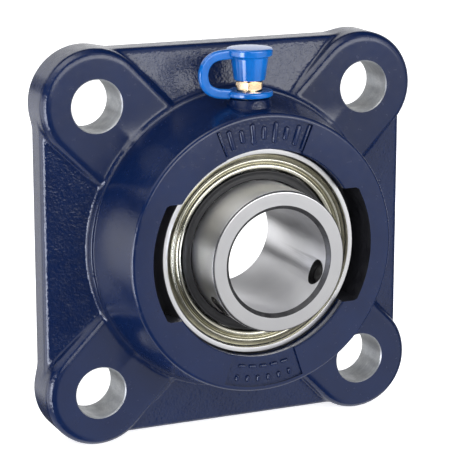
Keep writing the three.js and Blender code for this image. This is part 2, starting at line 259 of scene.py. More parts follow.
def rectangle(half_width, half_height):
    return [(half_width, half_height), (-half_width, half_height),
            (-half_width, -half_height), (half_width, -half_height)]


def rounded_outline(corners, steps=4):
    """Rounds a closed outline. A corner is (r, height) or (r, height, radius)."""
    points = []
    for i, corner in enumerate(corners):
        if len(corner) < 3:
            points.append(corner)
            continue
        here, radius = Vector(corner[:2]), corner[2]
        before = (Vector(corners[i - 1][:2]) - here).normalized()
        after = (Vector(corners[(i + 1) % len(corners)][:2]) - here).normalized()
        half_angle = before.angle(after) / 2
        reach = radius / math.tan(half_angle)
        centre = here + (before + after).normalized() * radius / math.sin(half_angle)
        start = here + before * reach - centre
        end = here + after * reach - centre
        spokes = [radius * start.slerp(end, k / steps) for k in range(steps + 1)]
        points += [tuple(centre + spoke) for spoke in spokes]
    return points


def revolve(name, outline, material, segments=128, upright=False, centre=(0, 0, 0)):
    """A closed outline of (r, height) turned about Y, or about Z when upright."""
    rings, vertices = [], []
    for r, height in outline:
        spots = angles(segments) if r > 1e-6 else [0]
        rings.append([len(vertices) + k % len(spots) for k in range(segments)])
        vertices += [(r * math.cos(t), height, r * math.sin(t)) for t in spots]
    faces = []
    for a, b in zip(rings, rings[1:] + rings[:1]):
        for k in range(segments):
            n = (k + 1) % segments
            corners = list(dict.fromkeys([a[k], a[n], b[n], b[k]]))
            if len(corners) > 2:
                faces.append(corners)
    if upright:
        vertices = [(x, -z, y) for x, y, z in vertices]
    placed = [(Vector(v) + Vector(centre)) * MM for v in vertices]
    return outward(make_object(name, placed, faces, material))


def skin(name, rings, material=None):
    """A closed mesh over a row of rings of points, in millimetres, with flat ends."""
    count = len(rings[0])
    vertices = [Vector(v) * MM for ring in rings for v in ring]
    last = len(vertices) - count
    faces = [list(range(count)), list(range(last, last + count))[::-1]]
    for start in range(0, last, count):
        for k in range(count):
            n = (k + 1) % count
            faces.append([start + k, start + n, start + count + n, start + count + k])
    return outward(make_object(name, vertices, faces, material))


def prism(name, outline, low_y, high_y, material=None):
    """A flat outline in X and Z, thickened along Y, in millimetres."""
    return skin(name, [[(x, y, z) for x, z in outline] for y in (low_y, high_y)], material)


def place(obj, body, *nodes, slot):
    """Puts a finished piece on its body, in place of its CAD nodes."""
    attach(obj, body)
    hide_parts(*nodes)


# --- Materials ---


class Nodes:
    """Short calls for the nodes of a material or a world."""

    def __init__(self, tree):
        self.tree = tree

    def feed(self, socket, value):
        if isinstance(value, bpy.types.NodeSocket):
            self.tree.links.new(value, socket)
        else:
            socket.default_value = (*value, 1) if socket.type == "RGBA" else value

    def node(self, kind, **inputs):
        node = self.tree.nodes.new(kind)
        for key, value in inputs.items():
            self.feed(node.inputs[key.replace("_", " ")], value)
        return node

    def operate(self, kind, operation, a, b):
        node = self.node(kind)
        node.operation = operation
        self.feed(node.inputs[0], a)
        self.feed(node.inputs[1], b)
        return node.outputs

    def math(self, operation, a, b=0.0):
        return self.operate("ShaderNodeMath", operation, a, b)[0]

    def times(self, a, b):
        return self.math("MULTIPLY", a, b)

    def vector_math(self, operation, a, b=(0, 0, 0)):
        outputs = self.operate("ShaderNodeVectorMath", operation, a, b)
        return outputs["Value" if operation == "LENGTH" else "Vector"]

    def axes(self, vector):
        return self.node("ShaderNodeSeparateXYZ", Vector=vector).outputs

    def span(self, value, to_low=0.0, to_high=1.0, from_low=0.3, from_high=0.7, kind="LINEAR"):
        """Rescales a value, which noise keeps near the middle of 0 to 1."""
        node = self.node("ShaderNodeMapRange", Value=value, From_Min=from_low,
                         From_Max=from_high, To_Min=to_low, To_Max=to_high)
        node.interpolation_type = kind
        return node.outputs["Result"]

    def step(self, value, start, end):
        """0 before start, 1 after end, and smooth between them."""
        return self.span(value, 0, 1, start, end, "SMOOTHSTEP")

    def slab(self, value, start, end, soft=0.1):
        """1 between start and end, with soft edges outside them."""
        return self.times(self.step(value, start - soft, start), self.step(value, end + soft, end))


class Finish(Nodes):
    """A Principled material that is built up in short calls."""

    def __init__(self, name, color, roughness, metallic=0.0):
        self.material = bpy.data.materials.new(name)
        self.material.use_nodes = True
        super().__init__(self.material.node_tree)
        self.shader = self.tree.nodes["Principled BSDF"]
        self.set(Base_Color=color, Roughness=roughness, Metallic=metallic)
        self.relief = None

    def set(self, **values):
        for key, value in values.items():
            self.feed(self.shader.inputs[key.replace("_", " ")], value)

    def spot(self):
        """Position on the piece at rest, in metres."""
        return self.node("ShaderNodeTexCoord").outputs["Object"]

    def noise(self, size_mm, detail=2.0, vector=None):
        """Cloudy noise with features of about size_mm, from 0 to 1."""
        node = self.node("ShaderNodeTexNoise", Scale=1 / (size_mm * MM), Detail=detail,
                         Vector=vector or self.spot())
        return node.outputs["Fac"]

    def turned(self, size_mm, detail=3.0, along=(0, 1, 0), centre=(0, 0, 0)):
        """Noise that is the same all the way round an axis, as a lathe or a grinder leaves it."""
        offset = self.vector_math("SUBTRACT", self.spot(), centre)
        axis_part = self.vector_math("MULTIPLY", offset, along)
        across = self.vector_math("SUBTRACT", offset, axis_part)
        lines = self.node("ShaderNodeCombineXYZ", X=self.vector_math("LENGTH", across),
                          Y=self.vector_math("LENGTH", axis_part))
        return self.noise(size_mm, detail, lines.outputs[0])

    def mix(self, factor, a, b):
        node = self.node("ShaderNodeMix")
        node.data_type = "RGBA"
        self.feed(node.inputs["Factor"], factor)
        self.feed(node.inputs["A"], a)
        self.feed(node.inputs["B"], b)
        return node.outputs["Result"]

    def tint(self, value, dark, light):
        """Colours the material between two tones, by a noise."""
        self.set(Base_Color=self.mix(self.span(value), dark, light))

    def gloss(self, value, least, most):
        """Lets the roughness wander between two values, by a noise."""
        self.set(Roughness=self.span(value, least, most))

    def bump(self, height, depth_mm, strength=0.5):
        """Adds relief of about depth_mm, on top of any relief added before."""
        node = self.node("ShaderNodeBump", Strength=strength, Distance=depth_mm * MM,
                         Height=height)
        if self.relief:
            self.feed(node.inputs["Normal"], self.relief)
        self.relief = node.outputs["Normal"]
        self.set(Normal=self.relief)


def rough_cast(finish):
    """1 on the webs and the plaques' floors, and least on the flat front faces and the walls."""
    depth = finish.times(finish.axes(finish.spot())["Y"], -1 / MM)
    on_web = finish.span(depth, 1.0, 0.1, WEB_TOP + 0.1, PAD_THICKNESS - 0.1)
    off_front = finish.span(depth, 0.8, 0.1, BOSS_FRONT - 0.5, BOSS_FRONT - 0.2)
    past_pads = finish.span(depth, 0.0, 1.0, PAD_THICKNESS + 1, PAD_THICKNESS + 2)
    cast = finish.math("MAXIMUM", on_web, finish.times(off_front, past_pads))
    facing = finish.axes(finish.node("ShaderNodeNewGeometry").outputs["Normal"])["Y"]
    return finish.times(cast, finish.span(finish.times(facing, -1), 0.25, 1.0, 0.6, 0.9))


def cast_paint():
    """Navy enamel. It is pebbly over the rough webs and smooth over the flat front faces."""
    finish = Finish("cast_navy_paint", (0.001, 0.01, 0.057), 0.3)
    cloud = finish.span(finish.noise(14, 3))
    tone = finish.mix(cloud, (0.0006, 0.007, 0.04), (0.0016, 0.0105, 0.053))
    worn = finish.span(finish.noise(0.7, 4), 0.0, 0.25, 0.62, 0.75)
    finish.set(Base_Color=finish.mix(worn, tone, (0.006, 0.02, 0.085)))
    finish.gloss(finish.noise(1.6, 3), 0.18, 0.28)
    pebbles = finish.math("ADD", finish.noise(0.65), finish.times(finish.noise(2.0, 1), 0.5))
    finish.bump(finish.times(pebbles, rough_cast(finish)), 0.15, 0.8)
    finish.bump(finish.noise(0.4), 0.01)
    finish.set(Sheen_Weight=0.01, Sheen_Roughness=0.4)
    return finish.material


def machined_iron():
    """Bare cut iron, turned about the shaft's axis."""
    finish = Finish("machined_iron", (0.42, 0.42, 0.41), 0.4, 0.85)
    rings = finish.turned(0.35, 2)
    finish.tint(rings, (0.32, 0.32, 0.31), (0.52, 0.52, 0.5))
    finish.gloss(finish.noise(2.5, 3), 0.32, 0.5)
    finish.bump(rings, 0.03)
    return finish.material


def drilled_iron():
    """The walls of the bolt holes: pale cut iron with a mist of primer."""
    finish = Finish("drilled_iron", (0.5, 0.5, 0.5), 0.45, 0.6)
    rings = finish.turned(0.3, 2)
    tone = finish.mix(finish.span(rings), (0.34, 0.35, 0.36), (0.5, 0.51, 0.52))
    mist = finish.span(finish.noise(3.0, 3), 0, 0.5)
    finish.set(Base_Color=finish.mix(mist, tone, (0.24, 0.26, 0.3)))
    finish.gloss(finish.noise(1.5, 3), 0.38, 0.55)
    finish.bump(rings, 0.03, 0.4)
    return finish.material


def slot_painted_shade():
    """Unpainted iron in the loading slots, coloured near-black as painted shade for the shadow
    inside them.
    """
    finish = Finish("slot_painted_shade", (0.012, 0.013, 0.018), 0.5)
    shade_mottle = finish.noise(1.5, 3)
    finish.tint(shade_mottle, (0.006, 0.006, 0.01), (0.02, 0.021, 0.027))
    finish.gloss(shade_mottle, 0.42, 0.6)
    finish.bump(finish.noise(0.9), 0.1)
    return finish.material


def ground_steel(name, tone, grain, hoops=True):
    """Bright bearing steel. The grinding hoops on a round face spread its gloss across them."""
    finish = Finish(name, (tone, tone, tone), grain, 1.0)
    darker_tone = (0.92 * tone, 0.92 * tone, 0.95 * tone)
    finish.tint(finish.noise(9.0), darker_tone, (tone, tone, 1.02 * tone))
    finish.gloss(finish.turned(0.2, 1), grain - 0.025, grain + 0.025)
    if hoops:
        finish.set(Anisotropic=0.85, Anisotropic_Rotation=0.25)
        around = finish.node("ShaderNodeTangent")
        around.direction_type = "RADIAL"
        around.axis = "Y"
        finish.set(Tangent=around.outputs[0])
    return finish.material


def scale_steel():
    """The corners that aren't ground after hardening stay dark."""
    finish = Finish("scale_steel", (0.06, 0.06, 0.065), 0.5, 0.8)
    cloud = finish.noise(1.5, 3)
    finish.tint(cloud, (0.04, 0.04, 0.044), (0.09, 0.09, 0.095))
    finish.gloss(cloud, 0.42, 0.6)
    return finish.material


def zinc_shield():
    """Pressed strip in yellowish zinc, coloured darker in the pressed grooves as painted shade and
    lighter on the ridges' tops as painted highlight.
    """
    finish = Finish("zinc_shield", (0.7, 0.68, 0.58), 0.22, 1.0)
    depth = finish.math("ADD", finish.axes(finish.spot())["Y"], SEAT_CENTRE * MM)
    face = (RING_HALF_WIDTH - 0.5) * MM
    # crest is 1 on the ridges' tops, which get the lighter colour as painted highlight; the grooves
    # keep the darker tone as painted shade.
    crest = finish.span(finish.math("ABSOLUTE", depth), 0, 1, face - 0.4 * MM, face - 0.05 * MM)
    darker_tone = finish.mix(finish.span(finish.noise(3.0)), (0.28, 0.265, 0.18), (0.38, 0.36, 0.26))
    finish.set(Base_Color=finish.mix(crest, darker_tone, (0.62, 0.605, 0.51)))
    finish.gloss(finish.noise(2.0), 0.2, 0.27)
    return finish.material


def black_rubber():
    """Moulded nitrile with a dull bloom."""
    finish = Finish("black_rubber", (0.01, 0.01, 0.011), 0.5)
    bloom = finish.noise(3.0, 4)
    finish.tint(bloom, (0.012, 0.012, 0.013), (0.024, 0.024, 0.026))
    finish.gloss(bloom, 0.42, 0.6)
    finish.bump(finish.noise(0.25, 3), 0.01)
    finish.set(Specular_IOR_Level=0.4)
    return finish.material


def black_oxide_and_hole_shade():
    """The bloomed black of a set screw, also put on the walls of the tapped holes that it runs in
    as painted shade.
    """
    finish = Finish("black_oxide_and_hole_shade", (0.008, 0.008, 0.009), 0.45, 0.5)
    finish.tint(finish.noise(0.8, 3), (0.004, 0.004, 0.005), (0.014, 0.013, 0.013))
    finish.gloss(finish.noise(0.5), 0.34, 0.5)
    return finish.material


def turned_brass():
    """Fresh brass, with the lathe's rings about the nipple's own axis."""
    finish = Finish("turned_brass", (0.78, 0.52, 0.22), 0.24, 1.0)
    hoops = finish.turned(0.15, 2, (0, 0, 1), (0, -NIPPLE_DEPTH * MM, 0))
    finish.tint(finish.noise(2.0, 3), (0.92, 0.66, 0.38), (0.98, 0.76, 0.5))
    finish.gloss(hoops, 0.22, 0.32)
    finish.bump(hoops, 0.003)
    return finish.material


def blue_plastic():
    """Glossy moulded polyethylene."""
    finish = Finish("blue_plastic", (0.0, 0.2, 0.85), 0.2)
    finish.tint(finish.noise(3.5), (0.0, 0.09, 0.36), (0.0, 0.125, 0.47))
    finish.gloss(finish.noise(1.2), 0.12, 0.2)
    finish.bump(finish.noise(2.5), 0.012)
    finish.set(Coat_Weight=0.3, Coat_Roughness=0.08)
    return finish.material


def polished_steel():
    finish = Finish("polished_steel", (0.82, 0.82, 0.82), 0.08, 1.0)
    finish.gloss(finish.noise(1.5), 0.06, 0.12)
    return finish.material


def pressed_steel():
    finish = Finish("pressed_steel", (0.55, 0.55, 0.53), 0.35, 1.0)
    finish.tint(finish.noise(2.0, 3), (0.46, 0.46, 0.44), (0.62, 0.62, 0.6))
    finish.gloss(finish.noise(0.8, 3), 0.28, 0.42)
    return finish.material


def pale_floor():
    """White paper, lit a little from below."""
    finish = Finish("pale_floor", (0.93, 0.93, 0.93), 0.6)
    finish.gloss(finish.noise(40), 0.55, 0.65)
    finish.set(Emission_Color=(1, 1, 1), Emission_Strength=0.8)
    return finish.material


PAINT = cast_paint()
IRON = machined_iron()
HOLE_IRON = drilled_iron()
SLOT_SHADE_IRON = slot_painted_shade()
STEEL = ground_steel("ground_steel", 0.78, 0.33, hoops=False)
# The hooped steel's tone is set brighter than the other steels as painted light, so that the inner
# ring's outer round looks more brightly lit.
BRIGHTENED_HOOPED_STEEL = ground_steel("hooped_steel_painted_light", 0.93, 0.3)
BORE_STEEL = ground_steel("bore_steel", 0.72, 0.42)
END_STEEL = ground_steel("end_steel", 0.6, 0.33, hoops=False)
SCALE = scale_steel()
ZINC = zinc_shield()
RUBBER = black_rubber()
OXIDE_AND_HOLE_SHADE = black_oxide_and_hole_shade()
BRASS = turned_brass()
PLASTIC = blue_plastic()
POLISHED = polished_steel()
PRESSED = pressed_steel()

# --- Housing: a signed distance in millimetres, negative inside the casting ---
# x and z lie in the flange, and d is the distance in front of the mounting face.

CELL = 0.52


def fillet_union(a, b, radius):
    """Joins two distances, with a fillet in the corner between them."""
    bend = np.hypot(np.maximum(radius - a, 0), np.maximum(radius - b, 0))
    return np.maximum(radius, np.minimum(a, b)) - bend


def rounded_overlap(a, b, radius):
    """What is inside both distances, with their common edge rounded."""
    bend = np.hypot(np.maximum(radius + a, 0), np.maximum(radius + b, 0))
    return np.minimum(-radius, np.maximum(a, b)) + bend


def waves():
    """Directions, lengths and phases of the slow ripples of a sand casting."""
    draw = np.random.default_rng(SEED)
    directions = draw.normal(size=(7, 3))
    directions /= np.linalg.norm(directions, axis=1)[:, None]
    lengths = draw.uniform(4.0, 11.0, 7)
    phases = draw.uniform(0, 2 * math.pi, 7)
    return directions * (2 * math.pi / lengths)[:, None], phases


RIPPLES = waves()
RIPPLE_HEIGHT = 0.011


def cast_ripple(x, d, z):
    return RIPPLE_HEIGHT * sum(np.sin(kx * x + kd * d + kz * z + phase)
                               for (kx, kd, kz), phase in zip(*RIPPLES))


def beveled(side, front, bevel, radius):
    """Two faces with a bevel between them whose own two edges are rounded."""
    slope = (side + front + bevel) / math.sqrt(2)
    return rounded_overlap(rounded_overlap(side, slope, radius), front, radius)


def flange_distance(x, d, z):
    corner = FLANGE_HALF - BOLT_OFFSET
    over_x = np.abs(x) - BOLT_OFFSET
    over_z = np.abs(z) - BOLT_OFFSET
    square = (np.hypot(np.maximum(over_x, 0), np.maximum(over_z, 0))
              + np.minimum(np.maximum(over_x, over_z), 0) - corner)
    slope = (WEB_TOP - WEB_EDGE) / (FLANGE_HALF - WEB_TOP_HALF)
    edge = np.maximum(np.abs(x), np.abs(z))
    web = (d - WEB_EDGE - slope * (FLANGE_HALF - edge)) / math.hypot(1, slope)
    return beveled(square, web + cast_ripple(x, d, z), 0.7, 0.45)


def pad_distance(x, d, z):
    along = (np.abs(x) + np.abs(z)) / math.sqrt(2)
    across = (np.abs(x) - np.abs(z)) / math.sqrt(2)
    reach = BOLT_OFFSET * math.sqrt(2)
    strip = np.hypot(np.maximum(along - reach, 0), across) - PAD_RADIUS
    return beveled(strip, d - PAD_THICKNESS, PAD_BEVEL, 0.45)


def foot_distance(r, d):
    """The lowest part of the boss, a hair inside the turned boss that is joined to it."""
    side = r - BOSS_BASE_RADIUS - LEDGE_WIDTH + 0.03
    return np.maximum(side, d - PAD_THICKNESS - LEDGE_HEIGHT + 0.1)


def flange_with_pads(x, d, z):
    body = fillet_union(flange_distance(x, d, z), pad_distance(x, d, z), 0.7)
    body = fillet_union(body, foot_distance(np.hypot(x, z), d), 0.8)
    return np.maximum(body, -d - BACK_STOCK)


CORNERS = [(i, j, k) for i in (0, 1) for j in (0, 1) for k in (0, 1)]
EDGES = [(a, b) for a in CORNERS for b in CORNERS
         if a < b and sum(abs(p - q) for p, q in zip(a, b)) == 1]


def surface_net(distance, low_corner, high_corner, cell):
    """A closed quad mesh where the distance is zero: one vertex in each cell that it crosses."""
    axes = [np.arange(lo - cell, hi + 2 * cell, cell) for lo, hi in zip(low_corner, high_corner)]
    field = distance(axes[0][:, None, None], axes[1][None, :, None], axes[2][None, None, :])
    inside = field < 0
    shape = tuple(n - 1 for n in field.shape)
    filled = sum(inside[i:i + shape[0], j:j + shape[1], k:k + shape[2]].astype(np.int8)
                 for i, j, k in CORNERS)
    cells = np.argwhere((filled > 0) & (filled < 8))
    total, crossings = np.zeros((len(cells), 3)), np.zeros(len(cells))
    for a, b in EDGES:
        at_a, at_b = field[tuple((cells + a).T)], field[tuple((cells + b).T)]
        crossed = (at_a < 0) != (at_b < 0)
        share = at_a[crossed] / (at_a[crossed] - at_b[crossed])
        step = (np.array(b) - a) * share[:, None]
        total[crossed] += cells[crossed] + a + step
        crossings[crossed] += 1
    points = np.array([axis[0] for axis in axes]) + cell * total / crossings[:, None]
    number = np.full(shape, -1)
    number[tuple(cells.T)] = np.arange(len(cells))
    quads = [net_quads(inside, number, axis) for axis in range(3)]
    return points, np.concatenate(quads)


def net_quads(inside, number, axis):
    """The quads around every grid edge along one axis that goes through the surface."""
    first, second = [slice(1, -1)] * 3, [slice(1, -1)] * 3
    first[axis], second[axis] = slice(0, -1), slice(1, None)
    change = inside[tuple(second)].astype(int) - inside[tuple(first)]
    found = np.argwhere(change != 0)
    sign = change[tuple(found.T)]
    start = found + [0 if k == axis else 1 for k in range(3)]
    u = np.eye(3, dtype=int)[(axis + 1) % 3]
    v = np.eye(3, dtype=int)[(axis + 2) % 3]
    ring = [number[tuple((start + offset).T)] for offset in (-u - v, -v, 0 * u, -u)]
    quads = np.stack(ring, axis=1)
    quads[sign < 0] = quads[sign < 0][:, ::-1]
    return quads


def pull_to_surface(distance, points, cell, rounds=3):
    """Newton steps that bring the vertices onto the exact surface."""
    small = 0.02
    for _ in range(rounds):
        value = distance(*points.T)
        slope = np.stack([
            (distance(*(points + small * unit).T) - distance(*(points - small * unit).T))
            / (2 * small) for unit in np.eye(3)], axis=1)
        size = np.maximum((slope ** 2).sum(axis=1), 0.2)
        step = -slope * (value / size)[:, None]
        length = np.linalg.norm(step, axis=1)[:, None]
        points = points + step * np.minimum(1, 0.5 * cell / np.maximum(length, 1e-9))
    return points


def solid(name, distance, low_corner, high_corner, cell, material):
    """The piece inside a distance over x, depth and z, between two corners in millimetres."""
    points, quads = surface_net(distance, low_corner, high_corner, cell)
    points = pull_to_surface(distance, points, cell)
    return outward(make_object(name, points * (MM, -MM, MM), quads, material))


def boss():
    """The turned boss with the ledge round its foot, rooted in the flange."""
    root, foot, ledge = -2, -PAD_THICKNESS - LEDGE_HEIGHT, BOSS_BASE_RADIUS + LEDGE_WIDTH
    outline = rounded_outline([
        (0, root), (ledge, root), (ledge, foot, 0.45), (BOSS_BASE_RADIUS, foot, 0.25),
        (BOSS_FRONT_RADIUS, -BOSS_FRONT, 1.0), (0, -BOSS_FRONT),
    ], 6)
    return revolve("boss", outline, PAINT, 194)


def by_nipple(name, outline, material, segments):
    """Turns an outline of (r, z) about the nipple's upright axis."""
    return revolve(name, outline, material, segments, upright=True, centre=NIPPLE_CENTRE)


def nipple_seat():
    """A short column that narrows upwards, for the nipple to screw into."""
    draft, root, foot = 0.9, 28, 33.5
    outline = rounded_outline([
        (0, root), (NIPPLE_SEAT_RADIUS + draft, root), (NIPPLE_SEAT_RADIUS + draft, foot),
        (NIPPLE_SEAT_RADIUS, NIPPLE_SEAT_TOP, 0.5), (0, NIPPLE_SEAT_TOP),
    ])
    return by_nipple("seat", outline, PAINT, 62)


def back_stock():
    """What is machined off the back, to leave the mounting face flat and bare."""
    past = 5
    reach = PAD_REACH + past
    return prism("stock", rectangle(reach, reach), 0, BACK_STOCK + past, IRON)


def insert_space():
    """The spherical seat and the recess in the back."""
    edge = math.asin(RING_HALF_WIDTH / SEAT_RADIUS)
    mouth_radius = SEAT_RADIUS * math.cos(edge)
    zone = arc_points(0, -SEAT_CENTRE, SEAT_RADIUS, edge, -edge, 24)
    chamfer, cone = 0.4, 1.5
    outline = [
        (0, 1), (RECESS_RADIUS + chamfer, 1), (RECESS_RADIUS + chamfer, 0),
        (RECESS_RADIUS, -chamfer), (RECESS_RADIUS, -RECESS_DEPTH),
        (mouth_radius, -RECESS_DEPTH - cone), *zone, (0, zone[-1][1]),
    ]
    return revolve("space", outline, IRON, 160)


def mouth():
    """The painted rim in front of the insert, with a small chamfer at the front face."""
    radius = math.sqrt(SEAT_RADIUS ** 2 - RING_HALF_WIDTH ** 2) + 0.05
    rear = 0.5 - SEAT_CENTRE - RING_HALF_WIDTH
    outline = [(0, rear), (radius, rear), (radius, 0.3 - BOSS_FRONT),
               (radius + 1.3, -BOSS_FRONT - 1), (0, -BOSS_FRONT - 1)]
    return revolve("mouth", outline, PAINT, 158)


def loading_slots():
    """The two slots as one band, between two arcs about the shaft's axis."""
    half_angle = math.asin(SLOT_HALF_HEIGHT / SLOT_RADIUS)
    corner = 1.6
    inset = half_angle - corner / SLOT_RADIUS
    right = arc_points(0, 0, SLOT_RADIUS, -inset, inset, 32)
    reach = right[-1][0]
    top = [(reach - 0.45, SLOT_HALF_HEIGHT - 0.4), (reach - 1.3, SLOT_HALF_HEIGHT)]
    half = [(x, -z) for x, z in top[::-1]] + right + top
    outline = half + [(-x, -z) for x, z in half]
    # The slots' walls take the near-black material, as painted shade.
    return prism("slots", outline, -BOSS_FRONT - 1, -SEAT_CENTRE, SLOT_SHADE_IRON)


def plaque(middle, half_angle):
    """The shallow sector that is cast into the front face around an upright angle."""
    inner, outer = SPHERE_RADIUS - 2, BOSS_FRONT_RADIUS - 1.1
    start, end = middle - half_angle, middle + half_angle
    outline = arc_points(0, 0, outer, start, end, 24) + arc_points(0, 0, inner, end, start, 24)
    return prism("plaque", outline, -BOSS_FRONT - 1, PLAQUE_DEPTH - BOSS_FRONT, PAINT)


def nipple_hole():
    """The tapped hole under the nipple, and the oilway from there into the insert's space."""
    root, oilway, tapping, bottom = 24, 1.5, 3.3, NIPPLE_BOTTOM - SEAT_GAP
    outline = [(0, root), (oilway, root), (oilway, bottom), (tapping, bottom),
               (tapping, NIPPLE_SEAT_TOP - 0.3), (tapping + 1.3, NIPPLE_SEAT_TOP + 1),
               (0, NIPPLE_SEAT_TOP + 1)]
    return by_nipple("hole", outline, IRON, 46)


def bolt_hole(x, z):
    """A drill for one bolt hole, which leaves a small chamfer at both ends."""
    chamfer, past, front = 0.25, 1.0, -PAD_THICKNESS
    wide = BOLT_HOLE_RADIUS + chamfer + past
    outline = [(0, front - past), (wide, front - past), (BOLT_HOLE_RADIUS, front + chamfer),
               (BOLT_HOLE_RADIUS, -chamfer), (wide, past), (0, past)]
    return revolve("drill", outline, HOLE_IRON, 74, centre=(x, 0, z))


def housing():
    low_corner = (-PAD_REACH, -BACK_STOCK, -PAD_REACH)
    high_corner = (PAD_REACH, PAD_THICKNESS + LEDGE_HEIGHT, PAD_REACH)
    obj = solid("cast_housing", flange_with_pads, low_corner, high_corner, CELL, PAINT)
    turned = boss()
    combine(turned, nipple_seat(), "UNION")
    combine(obj, turned, "UNION")
    sides = (-BOLT_OFFSET, BOLT_OFFSET)
    drills = join([bolt_hole(x, z) for x in sides for z in sides], "drills")
    plaques = [plaque(math.pi / 2, PLAQUE_TOP_ANGLE), plaque(-math.pi / 2, PLAQUE_BOTTOM_ANGLE)]
    for cutter in (back_stock(), mouth(), insert_space(), loading_slots(), *plaques,
                   nipple_hole(), drills):
        cut(obj, cutter)
    smooth(obj)
    obj.data.set_sharp_from_angle(angle=math.radians(40))
    place(obj, "housing", "housing", slot="navy_paint")


housing()

# --- Raised marks on the casting: plain bars and dots where a maker's signs would be ---

MARK_HEIGHT = 0.6
MARK_ROOT = 0.4


def mound(centre, length, width, angle):
    """A low rounded bar that stands on the front of the casting and reaches into it."""
    x0, d0, z0 = centre
    reach = (length - width) / 2
    rings = []
    for height, inset in ((-MARK_ROOT, 0), (0, 0), (0.6, 0.08), (0.88, 0.2), (1, 0.36)):
        rise = height if height < 0 else height * MARK_HEIGHT
        half = (0.5 - inset) * width
        ring = []
        for turn in angles(24):
            across = half * math.cos(turn)
            along = half * math.sin(turn) + math.copysign(reach, math.sin(turn + 1e-6))
            x = x0 + across * math.cos(angle) - along * math.sin(angle)
            z = z0 + across * math.sin(angle) + along * math.cos(angle)
            ring.append((x, -d0 - rise, z))
        rings.append(ring)
    return skin("mark", rings, PAINT)


def plaque_mark(offset, angle, length, width, turn=0.0):
    """A bar on a plaque's floor that points away from the shaft, or across that way when turned."""
    radius = (BOSS_FRONT_RADIUS + SPHERE_RADIUS) / 2 - 0.7 + offset
    centre = (radius * math.sin(angle), BOSS_FRONT - PLAQUE_DEPTH, radius * math.cos(angle))
    return mound(centre, length, width, -angle + turn)


def fan(count, spacing, middle=0.0):
    """Angles that are a number of degrees apart, about a middle angle."""
    return [middle + math.radians(spacing * (k - (count - 1) / 2)) for k in range(count)]


def cast_marks():
    marks = [plaque_mark(0, angle, (5.2, 3.4)[k % 2], 1.35) for k, angle in enumerate(fan(7, 5.6))]
    marks += [plaque_mark(0, angle, 6.6, 0.8) for angle in fan(2, 42.6)]
    marks += [plaque_mark(1.5, angle, 1.7, 1.0) for angle in fan(6, 5.2, math.pi)]
    marks += [plaque_mark(-1.5, angle, 2.0, 0.95, math.pi / 2) for angle in fan(5, 5.8, math.pi)]
    dot = 1.3
    for z in (10, 6, 2):
        marks.append(mound((FLANGE_HALF - 6, WEB_EDGE + 0.9, z), dot, dot, 0))
    obj = join(marks, "cast_marks")
    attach(obj, "housing")


cast_marks()

# --- Bearing insert: heights are measured from the ball row, positive towards the wall ---

INSERT_CENTRE = (0, -SEAT_CENTRE, 0)
GROOVE_RADIUS = BALL_RADIUS + 0.2
OUTER_LAND = 21.6
SHIELD_SEAT = SHIELD_RADIUS + 0.3
SHIELD_SEAT_DEPTH = 2.3
SHIELD_BORE = LIP_RADIUS + 0.3
BORE_RADIUS = 12.5
BORE_CHAMFER = 0.9
FRONT_REACH = INNER_FRONT - SEAT_CENTRE
REAR_REACH = SEAT_CENTRE - INNER_REAR
SCREW_RADIUS = 2.9
SCREW_FROM_FRONT = 4.2
SCREW_HEIGHT = Vector((0, (SCREW_FROM_FRONT - INNER_FRONT) * MM, 0))


def outer_ring():
    """Its two ends are alike, so that the outline is one half and the mirror of that."""
    edge = math.asin(RING_HALF_WIDTH / SPHERE_RADIUS) - 0.012
    groove = math.acos((OUTER_LAND - PITCH_RADIUS) / GROOVE_RADIUS)
    top = RING_HALF_WIDTH
    seat_floor = top - SHIELD_SEAT_DEPTH
    lip_radius = math.sqrt(SPHERE_RADIUS ** 2 - top ** 2) - 0.14
    half = [
        *arc_points(0, 0, SPHERE_RADIUS, 0, edge, 12),
        (lip_radius + 0.1, top - 0.05), (lip_radius, top),
        (SHIELD_SEAT + 0.1, top), (SHIELD_SEAT, top - 0.1),
        (SHIELD_SEAT, seat_floor), (OUTER_LAND, seat_floor),
        *arc_points(PITCH_RADIUS, 0, GROOVE_RADIUS, groove, 0, 10),
    ]
    outline = half + [(r, -y) for r, y in half[-2:0:-1]]
    ring = revolve("bearing_outer_ring", outline, STEEL, 160, centre=INSERT_CENTRE)
    weighted(ring)
    place(ring, "insert", "outer_ring", slot="ground_steel")


def screw_directions():
    """Unit vectors from the shaft's axis out through the two set screws."""
    return [-Vector(joint(f"set_screw_{number}_feed")["axis"]) for number in (1, 2)]


def inner_ring():
    groove = math.acos((PITCH_RADIUS - INNER_RADIUS) / GROOVE_RADIUS)
    bore_out, land = BORE_RADIUS + BORE_CHAMFER, 10
    outline = rounded_outline([
        (BORE_RADIUS, REAR_REACH - BORE_CHAMFER, 0.25),
        (BORE_RADIUS, BORE_CHAMFER - FRONT_REACH, 0.25),
        (bore_out, -FRONT_REACH, 0.2), (INNER_RADIUS, -FRONT_REACH, 0.55), (INNER_RADIUS, -land),
        *arc_points(PITCH_RADIUS, 0, GROOVE_RADIUS, math.pi + groove, math.pi - groove),
        (INNER_RADIUS, land), (INNER_RADIUS, REAR_REACH, 0.5), (bore_out, REAR_REACH, 0.2),
    ])
    ring = revolve("bearing_inner_ring", outline, BRIGHTENED_HOOPED_STEEL, 160, centre=INSERT_CENTRE)
    root, tapping = 9, SCREW_RADIUS + 0.15
    for direction in screw_directions():
        # The tapped hole is cut with the screw's near-black, which colours its walls as painted
        # shade.
        hole = revolve("hole", [
            (0, root), (tapping, root), (tapping, INNER_RADIUS - 0.35),
            (tapping + 0.45, INNER_RADIUS + 0.5), (0, INNER_RADIUS + 0.5),
        ], OXIDE_AND_HOLE_SHADE, 48)
        aim(hole, direction, SCREW_HEIGHT)
        cut(ring, hole)
    finish_ends(ring)
    smooth(ring)
    weighted(ring)
    place(ring, "inner_ring", "inner_ring", slot="ground_steel")


